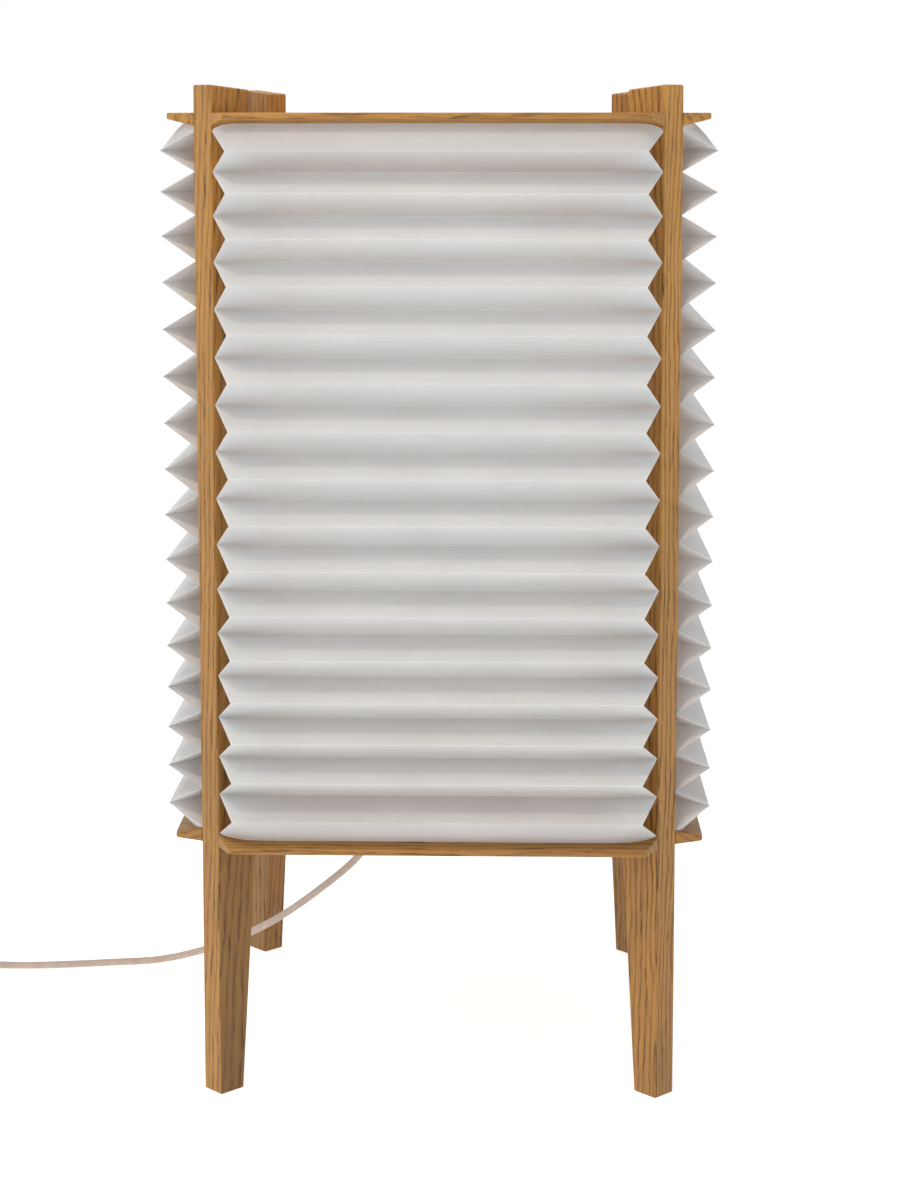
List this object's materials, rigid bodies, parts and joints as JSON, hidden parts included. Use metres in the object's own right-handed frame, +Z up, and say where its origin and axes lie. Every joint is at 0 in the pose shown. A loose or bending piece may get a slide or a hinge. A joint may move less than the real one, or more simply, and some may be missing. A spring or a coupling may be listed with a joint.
{
  "type": "pleated paper table lamp",
  "caption": "Square table lamp: pleated white paper panels between two bevelled oak boards on four tapering radial oak legs, with a mains cord, in-line rocker switch and plug.",
  "frame": {"origin": "on the floor, at the lamp's vertical axis", "axes": "+Z up, +X to the right of the front panel, -Y towards the front"},
  "size_m": [0.6674, 0.324, 0.5999],
  "materials": {
    "oak_leg": "oiled oak, satin",
    "oak_board": "oiled oak, satin",
    "paper": "matt laminated paper",
    "dowel_beech": "raw beech",
    "holder_plastic": "matt thermoplastic",
    "insulator": "moulded insulator",
    "brass": "bright brass",
    "steel": "zinc-plated steel",
    "pin_nickel": "nickel-plated brass",
    "bulb_aluminium": "drawn aluminium",
    "opal_glass": "opal glass",
    "cord_sheath": "satin cord sheath",
    "cord_fittings": "moulded plastic",
    "wire_insulation": "wire insulation"
  },
  "bodies": {
    "lamp": {"board_dowels": "dowel_beech", "bottom_board": "oak_board", "bulb_cap": "bulb_aluminium", "bulb_globe": "opal_glass", "cord_bushing": "cord_fittings", "cord_coil": "cord_sheath", "cord_lead": "cord_sheath", "cord_tail": "cord_sheath", "holder_base": "holder_plastic", "holder_centre_contact": "brass", "holder_insulator": "insulator", "holder_screw_shell": "brass", "holder_screws": "steel", "holder_sleeve": "holder_plastic", "holder_terminals": "brass", "inner_cord": "cord_sheath", "inner_leads": "wire_insulation", "leg_front_left": "oak_leg", "leg_front_right": "oak_leg", "leg_rear_left": "oak_leg", "leg_rear_right": "oak_leg", "mains_cord": "cord_sheath", "plug_body": "cord_fittings", "plug_cord_sleeve": "cord_fittings", "plug_pins": "pin_nickel", "shade_panel_front": "paper", "shade_panel_left": "paper", "shade_panel_rear": "paper", "shade_panel_right": "paper", "switch_contacts": "brass", "switch_cord_sleeves": "cord_fittings", "switch_lower_housing": "cord_fittings", "switch_pivot_pin": "steel", "switch_screws": "steel", "switch_upper_housing": "cord_fittings", "top_board": "oak_board"},
    "rocker": {"switch_rocker": "cord_fittings"}
  },
  "joints": [
    {"name": "switch_rocker_tilt", "type": "hinge", "parent": "lamp", "child": "rocker", "pos_m": [-0.384, 0.0775, 0.0115], "axis": [0, 1, 0], "range_deg": [0, 16]}
  ]
}
